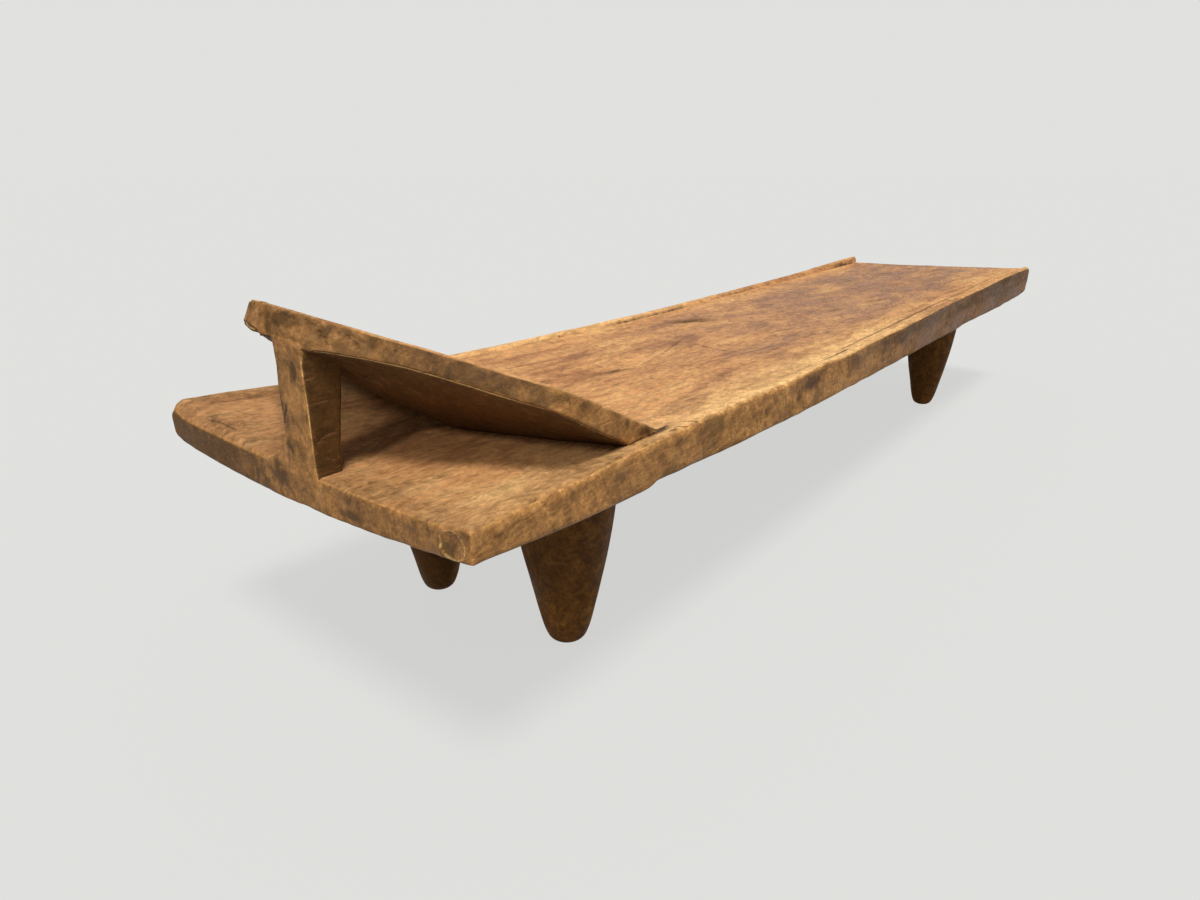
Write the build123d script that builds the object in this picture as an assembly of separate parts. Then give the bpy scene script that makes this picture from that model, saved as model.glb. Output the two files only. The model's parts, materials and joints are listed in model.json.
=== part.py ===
from build123d import *
import os
from math import cos, radians, tan

# Low log-carved bed: a long slab with raised long edges, a sloping headrest board carried
# on a short post at the head end, and four tapering legs.
# Millimetres.  The origin is the middle of the footprint on the floor, +Z is up, +X runs
# to the foot end and +Y is the left side of a sleeper who lies on their back.

# ---- Slab ----------------------------------------------------------------------------
length = 2080
head_width = 551
neck_width = 539
shoulder_width = 531
waist_width = 512
late_width = 511             # three quarters of the way down
foot_width = 509

head_rim_height = 316        # floor to the middle of a line across the two raised edges
neck_rim_height = 316
shoulder_rim_height = 314
waist_rim_height = 312
late_rim_height = 316
foot_rim_height = 324

head_side_depth = 36         # height of the side faces, which thicken towards the foot
neck_side_depth = 44
shoulder_side_depth = 53
waist_side_depth = 60
late_side_depth = 66
foot_side_depth = 67

neck_from_head = 110         # places of the cross-sections between the two ends
shoulder_from_head = 330
waist_from_head = 880
late_from_head = 1480

head_twist = 0.7             # degrees: the left edge is higher at the head, and the slab
neck_twist = 0.4             # winds the other way from the shoulder on, as its log grew
shoulder_twist = -0.5
waist_twist = -1.2
late_twist = -1.4
foot_twist = -0.4

rim_width = 15               # raised edge along both long sides
rim_step = 4                 # drop from the raised edge to the bed beside it
rim_slope_width = 5
bed_dish = 9                 # the bed hollows this much more towards its middle
belly = 15                   # the underside swells this much towards its middle
side_lean = 4                # the side faces draw in towards the underside
edge_radius = 6              # hand-rounded long edges
end_arris = 4                # width of the dressed-off edges of the two end faces

# ---- Headrest board ------------------------------------------------------------------
board_height = 476           # floor to the top edge of the board, at the head end
board_slope = 27.1           # degrees down towards the foot
board_nose_width = 52        # flat front of the arrow-shaped outline
board_centre_y = 9           # the board was carved a little left of the bed's middle
board_span = 512             # across its two shoulders
board_tail_span = 492        # across its sides where it runs out on the bed
board_shoulder_from_head = 150
board_shoulder_radius = 24
board_edge_radius = 4
wing_front_depth = 23        # upright thickness along the outline, front and tail
wing_tail_depth = 40
keel_front_depth = 36        # upright thickness over the ridge below the board
keel_tail_depth = 89

# ---- Headrest post -------------------------------------------------------------------
post_centre_y = -22.5        # the post and the ridge above it stand right of the middle
post_width = 55
post_head_depth = 46         # along the bed, where it carries the board
post_root_depth = 33         # along the bed, where it grows out of the slab
post_root_flare = 32         # the root spreads this far to the left
post_root_height = 42        # height of that spread above the slab
post_root_steps = 4
post_root_curve = 2          # above 1, the spread ends in a hollow sweep
post_arris = 3               # width of its dressed-off upright edges

# ---- Legs ----------------------------------------------------------------------------
leg_places = {               # distance from the head end, and from the middle of the bed
    "leg_head_right": (284, -119),
    "leg_head_left": (272, 125),
    "leg_foot_right": (1719, -126),
    "leg_foot_left": (1719, 126),
}
leg_radius = {"leg_head": 72, "leg_foot": 65}   # where the legs of either end meet the slab
foot_radius = 9              # flat that the bed stands on
leg_swell = 0.58             # below 1, the leg swells quickly above its foot
leg_rings = 8                # hewn rings between foot and slab
ring_crowding = 2            # above 1, the rings are lower near the foot
leg_flats = 24               # adze flats around each ring

head_x = -length / 2
slope = tan(radians(board_slope))
bed_below_board = shoulder_rim_height - rim_step - bed_dish
board_tail_from_head = (board_height - bed_below_board) / slope + board_edge_radius


def slab_section(from_head, width, rim_height, side_depth, twist, inset=0):
    """Cross-section of the slab: two raised edges, a dished bed and a swelling underside."""
    half = width / 2 - inset
    bed_half = half - rim_width - rim_slope_width
    under_half = half - side_lean
    rim_z = -inset
    bed_z = rim_z - rim_step
    under_z = inset - side_depth
    across_bed = Plane(origin=(head_x + from_head, 0, rim_height), x_dir=(0, 1, 0), z_dir=(1, 0, 0))
    with BuildSketch(across_bed * Rotation(0, 0, twist)) as section:
        with BuildLine():
            Polyline(
                (-under_half, under_z),
                (-half, rim_z),
                (-half + rim_width, rim_z),
                (-bed_half, bed_z),
            )
            ThreePointArc((-bed_half, bed_z), (0, bed_z - bed_dish), (bed_half, bed_z))
            Polyline((bed_half, bed_z), (half - rim_width, rim_z), (half, rim_z), (under_half, under_z))
            ThreePointArc((under_half, under_z), (0, under_z - belly), (-under_half, under_z))
        make_face()
        across = section.vertices().group_by(Axis.X)
        upwards = section.vertices().group_by(Axis.Y)
        fillet(across[0] + across[-1] + upwards[0], edge_radius - inset)
    return section.sketch


def make_slab():
    """Slab lofted through its cross-sections, with the arrises of both ends dressed off."""
    head = (head_width, head_rim_height, head_side_depth, head_twist)
    foot = (foot_width, foot_rim_height, foot_side_depth, foot_twist)
    head_section = slab_section(end_arris, *head)
    foot_section = slab_section(length - end_arris, *foot)
    neck = (neck_width, neck_rim_height, neck_side_depth, neck_twist)
    shoulder = (shoulder_width, shoulder_rim_height, shoulder_side_depth, shoulder_twist)
    waist = (waist_width, waist_rim_height, waist_side_depth, waist_twist)
    late = (late_width, late_rim_height, late_side_depth, late_twist)
    body = loft(
        [
            head_section,
            slab_section(neck_from_head, *neck),
            slab_section(shoulder_from_head, *shoulder),
            slab_section(waist_from_head, *waist),
            slab_section(late_from_head, *late),
            foot_section,
        ]
    )
    head_end = loft([slab_section(0, *head, inset=end_arris), head_section], ruled=True)
    foot_end = loft([foot_section, slab_section(length, *foot, inset=end_arris)], ruled=True)
    return (body + head_end + foot_end).solid()


def keel_section(from_head, wing_depth, keel_depth):
    """Cross-section of the headrest board: thin wings and a ridge below, near the middle."""
    top_z = board_height - from_head * slope
    half = board_span / 2 + board_edge_radius
    with BuildSketch(Plane.YZ.offset(head_x + from_head)) as section:
        with BuildLine():
            Polyline(
                (board_centre_y - half, top_z + board_edge_radius),
                (board_centre_y - half, top_z - wing_depth),
                (post_centre_y, top_z - keel_depth),
                (board_centre_y + board_nose_width / 2, top_z - wing_depth),
                (board_centre_y + half, top_z - wing_depth),
                (board_centre_y + half, top_z + board_edge_radius),
                close=True,
            )
        make_face()
    return section.sketch


def board_prism():
    """Arrow-shaped outline of the headrest board, cut square to its sloping top."""
    along = 1 / cos(radians(board_slope))
    reach_down = keel_tail_depth * 2
    shoulder = board_shoulder_from_head * along
    tail = (board_tail_from_head + keel_tail_depth) * along
    half_nose = board_nose_width / 2
    half_span = board_span / 2
    half_tail = board_tail_span / 2
    top = Plane(
        origin=(head_x, board_centre_y, board_height),
        x_dir=(1, 0, -slope),
        z_dir=(slope, 0, 1),
    )
    with BuildPart() as prism:
        with BuildSketch(top) as outline:
            with BuildLine():
                Polyline(
                    (0, -half_nose),
                    (shoulder, -half_span),
                    (tail, -half_tail),
                    (tail, half_tail),
                    (shoulder, half_span),
                    (0, half_nose),
                    close=True,
                )
            make_face()
            corners = outline.vertices().group_by(Axis.X)
            fillet(corners[1], board_shoulder_radius)
        extrude(amount=-reach_down)
        top_face = prism.faces().sort_by(Axis((0, 0, 0), (slope, 0, 1)))[-1]
        fillet(top_face.edges(), board_edge_radius)
    return prism.part


def make_wedge():
    """Raw wedge of the headrest: it runs down into the slab and thickens to a ridge below."""
    head_section = keel_section(-edge_radius, wing_front_depth, keel_front_depth)
    tail_section = keel_section(board_tail_from_head, wing_tail_depth, keel_tail_depth)
    return loft([head_section, tail_section], ruled=True)


def make_board(wedge, slab):
    """Headrest board: the wedge cut to its outline, down to where it runs out on the slab."""
    trimmed = split(wedge & board_prism(), bisect_by=Plane.YZ.offset(head_x), keep=Keep.TOP)
    above_slab = trimmed - slab
    return above_slab.solids().sort_by(Axis.Z)[-1]


def post_section(height, depth, flare):
    """Level cross-section of the post: its front flush with the slab, its left side flared."""
    width = post_width + flare
    right = post_centre_y - post_width / 2
    with BuildSketch(Plane.XY.offset(height)) as section:
        with Locations((head_x + depth / 2, right + width / 2)):
            Rectangle(depth, width)
        chamfer(section.vertices(), post_arris)
    return section.sketch


def make_post(wedge, slab):
    """Post: it leans back to a deeper head, and its root spreads to the left in a hollow sweep."""
    slab_z = head_rim_height - rim_step - bed_dish
    buried_z = head_rim_height - head_side_depth
    depth_gain = (post_head_depth - post_root_depth) / (board_height - slab_z)
    sections = [post_section(buried_z, post_root_depth, post_root_flare)]
    for step in range(post_root_steps + 1):
        rise = step / post_root_steps
        height = post_root_height * rise
        depth = post_root_depth + depth_gain * height
        flare = post_root_flare * (1 - rise) ** post_root_curve
        sections.append(post_section(slab_z + height, depth, flare))
    sections.append(post_section(board_height, post_head_depth, 0))
    between = loft(sections, ruled=True) - wedge - slab
    return between.solids().sort_by(Axis.Z)[0]


def make_leg(from_head, centre_y, top_radius, slab):
    """Leg hewn in rings of flats that swell quickly above the foot, cut to the underside."""
    buried_z = shoulder_rim_height - shoulder_side_depth
    axis = Vector(head_x + from_head, centre_y, 0)
    rings = []
    for step in range(leg_rings + 1):
        height = (step / leg_rings) ** ring_crowding
        radius = foot_radius + (top_radius - foot_radius) * height**leg_swell
        corner = Vector(radius, 0, buried_z * height)
        turns = [360 * flat / leg_flats for flat in range(leg_flats)]
        rings.append([axis + corner.rotate(Axis.Z, turn) for turn in turns])
    flats = [Face(Wire.make_polygon(rings[0])), Face(Wire.make_polygon(rings[-1]))]
    for low, high in zip(rings, rings[1:]):
        for this in range(leg_flats):
            after = (this + 1) % leg_flats
            corners = [low[this], low[after], high[after], high[this]]
            flats.append(Face(Wire.make_polygon(corners)))
    leg = Solid(Shell(flats))
    return (leg - slab).solids().sort_by(Axis.Z)[0]


slab = make_slab()
wedge = make_wedge()
pieces = {
    "bed_slab": slab,
    "headrest_board": make_board(wedge, slab),
    "headrest_post": make_post(wedge, slab),
}
for name, (from_head, centre_y) in leg_places.items():
    end_of_bed = name.rsplit("_", 1)[0]
    pieces[name] = make_leg(from_head, centre_y, leg_radius[end_of_bed], slab)

os.makedirs("parts", exist_ok=True)
for name, piece in pieces.items():
    export_step(piece, f"parts/{name}.step")
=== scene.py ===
import json
import logging
from bisect import bisect_right
from dataclasses import dataclass, field
from enum import Enum
from functools import lru_cache
from math import cos, exp, hypot, log as log_of, pi, radians, sin, tan
from typing import Callable, NamedTuple

import bmesh
import bpy
from mathutils import Matrix, Vector, noise

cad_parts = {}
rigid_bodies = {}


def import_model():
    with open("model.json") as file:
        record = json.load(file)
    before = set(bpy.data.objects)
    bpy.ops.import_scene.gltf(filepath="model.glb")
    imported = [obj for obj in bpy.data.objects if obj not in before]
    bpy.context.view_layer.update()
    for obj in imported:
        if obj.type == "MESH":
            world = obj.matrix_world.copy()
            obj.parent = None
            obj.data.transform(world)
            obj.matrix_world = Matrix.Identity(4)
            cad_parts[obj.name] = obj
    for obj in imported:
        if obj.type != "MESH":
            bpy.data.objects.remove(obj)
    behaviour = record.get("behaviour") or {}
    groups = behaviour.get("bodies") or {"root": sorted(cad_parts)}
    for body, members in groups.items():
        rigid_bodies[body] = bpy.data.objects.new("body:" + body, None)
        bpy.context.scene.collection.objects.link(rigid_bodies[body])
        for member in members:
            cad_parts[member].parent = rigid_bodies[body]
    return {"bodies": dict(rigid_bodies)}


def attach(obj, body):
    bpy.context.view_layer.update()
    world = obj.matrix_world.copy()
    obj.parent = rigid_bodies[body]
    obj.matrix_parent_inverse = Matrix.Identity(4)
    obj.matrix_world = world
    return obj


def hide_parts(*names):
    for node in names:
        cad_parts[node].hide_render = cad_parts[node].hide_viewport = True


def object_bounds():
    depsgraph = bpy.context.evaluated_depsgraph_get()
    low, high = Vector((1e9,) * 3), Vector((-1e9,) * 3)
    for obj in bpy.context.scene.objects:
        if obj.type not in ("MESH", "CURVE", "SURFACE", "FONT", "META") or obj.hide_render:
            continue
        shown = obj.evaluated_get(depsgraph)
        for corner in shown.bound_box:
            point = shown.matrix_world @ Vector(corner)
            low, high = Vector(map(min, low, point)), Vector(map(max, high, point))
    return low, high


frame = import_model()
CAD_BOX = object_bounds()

# A low bed carved from one log: a long slab with raised long edges, a sloping headrest board
# on a short post at the head end, and four tapering legs.  Metres, in the frame of the parts:
# +X runs to the foot end, +Y is the left of a sleeper on their back, the floor is at z = 0.

log = logging.getLogger("daybed")

Place = tuple[float, float, float]
Tone = tuple[int, int, int]
Socket = bpy.types.NodeSocket

HEAD_X = CAD_BOX[0][0]
BODY = next(iter(frame["bodies"]))
UP = Vector((0, 0, 1))
TOOL_MARK_SEED = 1795511830     # without a seed, the clock says where the tool marks wander
SOFT_RIDGE = 9.0        # the higher, the sharper the ridges between tool marks
MARK_SPREAD = 2.5       # a mark has faded out at this many times its reach
ARRIS_FALL = 0.41       # share of its radius that a rounded arris lies below the sharp one
SIZES_KEPT = 4096       # how many stations' sizes are kept for the next vertex


# ---- Small tools ---------------------------------------------------------------------

def ease(low: float, high: float, value: float) -> float:
    """Rise softly from 0 to 1 between two values.

    Args:
        low: Where the rise starts.
        high: Where it ends.
        value: The value to place.

    Returns:
        A share from 0 to 1.
    """
    share = min(max((value - low) / (high - low), 0.0), 1.0)
    return share * share * (3 - 2 * share)


def between(first: float, last: float, share: float) -> float:
    """Return the value a share of the way from first to last."""
    return first + (last - first) * share


def colour(red: int, green: int, blue: int) -> tuple[float, float, float, float]:
    """Turn a colour as it is seen, 0 to 255, into the linear one that a shader takes.

    Args:
        red: Red, 0 to 255.
        green: Green, 0 to 255.
        blue: Blue, 0 to 255.

    Returns:
        Linear red, green, blue and a full alpha.
    """
    seen = [part / 255 for part in (red, green, blue)]
    linear = [part / 12.92 if part <= 0.04045 else ((part + 0.055) / 1.055) ** 2.4 for part in seen]
    return (*linear, 1.0)


@dataclass(eq=False)
class Run:
    """A size that changes along a piece, drawn through a few stations without overshoot."""

    stations: tuple[tuple[float, float], ...]
    places: list[float] = field(init=False)
    slopes: list[float] = field(init=False)

    def __post_init__(self) -> None:
        """Work out the slope at each station."""
        self.places = [place for place, _ in self.stations]
        rates = []
        for (place, size), (next_place, next_size) in zip(self.stations, self.stations[1:]):
            rates.append((next_size - size) / (next_place - place))
        inner = []
        for before, after in zip(rates, rates[1:]):
            inner.append(0.0 if before * after <= 0 else 2 * before * after / (before + after))
        self.slopes = [rates[0], *inner, rates[-1]]

    def at(self, place: float) -> float:
        """Read the size at a place.

        Args:
            place: Distance along the piece.

        Returns:
            The size there, held level beyond the first and last stations.
        """
        if place <= self.places[0]:
            return self.stations[0][1]
        if place >= self.places[-1]:
            return self.stations[-1][1]
        i = bisect_right(self.places, place) - 1
        (start, first), (end, last) = self.stations[i], self.stations[i + 1]
        span = end - start
        t = (place - start) / span
        curve = (1 + 2 * t) * (1 - t) ** 2 * first + t * t * (3 - 2 * t) * last
        bend = t * (1 - t) ** 2 * self.slopes[i] + t * t * (t - 1) * self.slopes[i + 1]
        return curve + bend * span


def march(length: float, step_at: Callable[[float], float]) -> list[float]:
    """Mark off places along a length with a step that may change on the way.

    Args:
        length: The length to mark off.
        step_at: Gives the step wanted at a place.

    Returns:
        Places from 0 to the full length.
    """
    places = [0.0]
    while places[-1] < length:
        places.append(places[-1] + step_at(places[-1]))
    return [place * length / places[-1] for place in places]


class Marking(Enum):
    """What a worn place, or a place with stains, on the wood looks like."""

    DARK = 0
    PALE = 1
    RUSSET = 2


@dataclass(frozen=True)
class Mark:
    """A soft-edged place that is worn or marked by stains."""

    kind: Marking
    place: Place
    reach: Place
    strength: float = 1.0
    turn: float = 0.0

    def is_near(self, x: float) -> bool:
        """Tell whether the mark can show at a place along the bed."""
        return abs(x - self.place[0]) < MARK_SPREAD * max(self.reach[:2])

    def at(self, spot: Vector) -> float:
        """Return how strongly the mark shows at a spot."""
        too_far = abs(spot.y - self.place[1]) > MARK_SPREAD * max(self.reach[:2])
        if too_far or not self.is_near(spot.x):
            return 0.0
        away = spot - Vector(self.place)
        c, s = cos(self.turn), sin(self.turn)
        lengthwise = (away.x * c + away.y * s) / self.reach[0]
        crosswise = (away.y * c - away.x * s) / self.reach[1]
        upward = away.z / self.reach[2]
        return self.strength * exp(-(lengthwise**2 + crosswise**2 + upward**2))


def marks_of(kind: Marking, *rows: tuple[float, ...]) -> tuple[Mark, ...]:
    """Lay out marks of one kind: place, reach, strength and, where it has one, turn."""
    return tuple(Mark(kind, row[:3], row[3:6], *row[6:]) for row in rows)


@dataclass(frozen=True)
class Adze:
    """Tool marks: shallow hollows, side by side, that meet in low ridges."""

    bite: Place
    depth: float
    seed: float = 0.0

    def cut(self, spot: Vector) -> tuple[float, float]:
        """Work out the tool mark at a spot.

        Args:
            spot: A point on the wood.

        Returns:
            How deep it is cut below the middle of the marks, and how far inside its hollow the
            spot lies, from 0 on a ridge to 1.
        """
        cell = Vector([part / size for part, size in zip(spot, self.bite)])
        cell += Vector((self.seed, self.seed * 0.7, -self.seed))
        cell += noise.noise_vector(cell * 0.7) * 0.55 + noise.noise_vector(cell * 2.3) * 0.16
        gaps, _ = noise.voronoi(cell)
        soft = -log_of(sum(exp(-SOFT_RIDGE * gap) for gap in gaps)) / SOFT_RIDGE
        return self.depth * (0.45 - soft * 1.5), ease(0.0, 0.45, gaps[1] - gaps[0])


EDGE_ADZE = Adze((0.050, 0.040, 0.036), 0.0017, 3.0)


class Paint(NamedTuple):
    """How the wood looks at one vertex, each from 0 to 1."""

    # dark: stains, and painted shade on undersides, end faces, the platform, the post and the legs
    dark: float = 0.0
    # pale: worn golden edges, and a painted highlight along the bed's right edge
    pale: float = 0.0
    # russet: the wood's reddish-grey tone, and toward the foot a painted sheen on the bed and painted
    # shade on the sides
    russet: float = 0.0
    wear: float = 0.0
    hewn: float = 0.0
    # the last: painted shade in grooves and creases and under the slab and board, with soiling
    grime: float = 0.0


class Shaped(NamedTuple):
    """One vertex of a carved piece: where it goes and how it is painted."""

    spot: Vector
    paint: Paint


@dataclass
class Block:
    """A closed block of cells, lined off along, across and up, ready to be carved."""

    along: list[float]
    across: list[float]
    up: list[float]

    def rough(self) -> bmesh.types.BMesh:
        """Make the unit block from one grid for each of its six faces."""
        bm = bmesh.new()
        counts = [len(lines) - 1 for lines in (self.along, self.across, self.up)]
        turns = {
            2: (Matrix.Identity(4), counts[0], counts[1]),
            0: (Matrix.Rotation(pi / 2, 4, "Y"), counts[2], counts[1]),
            1: (Matrix.Rotation(pi / 2, 4, "X"), counts[0], counts[2]),
        }
        for axis, (turn, first, second) in turns.items():
            for end in (-0.5, 0.5):
                shift = Vector((0.5, 0.5, 0.5))
                shift[axis] += end
                bmesh.ops.create_grid(
                    bm,
                    x_segments=first,
                    y_segments=second,
                    size=0.5,
                    matrix=Matrix.Translation(shift) @ turn,
                )
        bmesh.ops.remove_doubles(bm, verts=bm.verts, dist=1e-5)
        bmesh.ops.recalc_face_normals(bm, faces=bm.faces)
        return bm

    def carve(self, name: str, shape: Callable[[float, float, float], Shaped]) -> bpy.types.Object:
        """Move every vertex of the rough block to its place on the carved piece.

        Args:
            name: Name of the piece.
            shape: Takes the lines along, across and up, and gives the carved vertex.

        Returns:
            The carved and painted piece.
        """
        bm = self.rough()
        paints = []
        for vert in bm.verts:
            i = round(vert.co.x * (len(self.along) - 1))
            j = round(vert.co.y * (len(self.across) - 1))
            k = round(vert.co.z * (len(self.up) - 1))
            done = shape(self.along[i], self.across[j], self.up[k])
            vert.co = done.spot
            paints.append(done.paint)
        bmesh.ops.recalc_face_normals(bm, faces=bm.faces)
        return to_object(name, bm, paints)


def ways_out(*axes: tuple[bool, float, float]) -> list[tuple[Vector, float]]:
    """Find the way out of the nearer face along each axis of a block.

    Args:
        axes: For each axis, whether the far face is the nearer one, and the distances to the
            near face and to the far one.

    Returns:
        For each axis, the way out of the nearer face and the distance to it.
    """
    found = []
    for axis, (at_far, to_near, to_far) in enumerate(axes):
        out = Vector((0, 0, 0))
        out[axis] = 1 if at_far else -1
        found.append((out, to_far if at_far else to_near))
    return found


def rounded(outs: list[tuple[Vector, float]], radius: float) -> tuple[Vector, Vector]:
    """Round off the arris where faces of a block meet.

    Args:
        outs: For each axis of the block, the way out of its nearest face and the distance
            to that face.
        radius: Radius of the arris.

    Returns:
        How far the vertex moves, and its way out of the wood.
    """
    over = Vector((0, 0, 0))
    for out, gap in outs:
        over += out * max(0.0, radius - gap)
    way_out = over.normalized()
    return way_out * radius - over, way_out


def worn(move: Vector, radius: float) -> float:
    """Return how worn a vertex is, from how far the rounding of its arris moved it."""
    return ease(0.35, 0.95, move.length / (radius * ARRIS_FALL))


def to_object(name: str, bm: bmesh.types.BMesh, paints: list[Paint]) -> bpy.types.Object:
    """Turn a carved mesh into an object with its paint.

    Args:
        name: Name of the piece.
        bm: The carved mesh, which is freed.
        paints: Paint of each vertex.

    Returns:
        The new object.
    """
    mesh = bpy.data.meshes.new(name)
    bm.to_mesh(mesh)
    bm.free()
    # The first layer holds stains with painted shade, highlight and sheen; the second holds wear,
    # hewing, and soiling with painted shade
    tone_and_painted_light = mesh.color_attributes.new("tone_and_painted_light", "FLOAT_COLOR", "POINT")
    relief = mesh.color_attributes.new("relief", "FLOAT_COLOR", "POINT")
    tone_and_painted_light.data.foreach_set("color", [part for p in paints for part in (*p[:3], 1)])
    relief.data.foreach_set("color", [part for p in paints for part in (*p[3:], 1)])
    mesh.polygons.foreach_set("use_smooth", [True] * len(mesh.polygons))
    piece = bpy.data.objects.new(name, mesh)
    bpy.context.scene.collection.objects.link(piece)
    return piece


# ---- The bed's pieces ----------------------------------------------------------------

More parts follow.
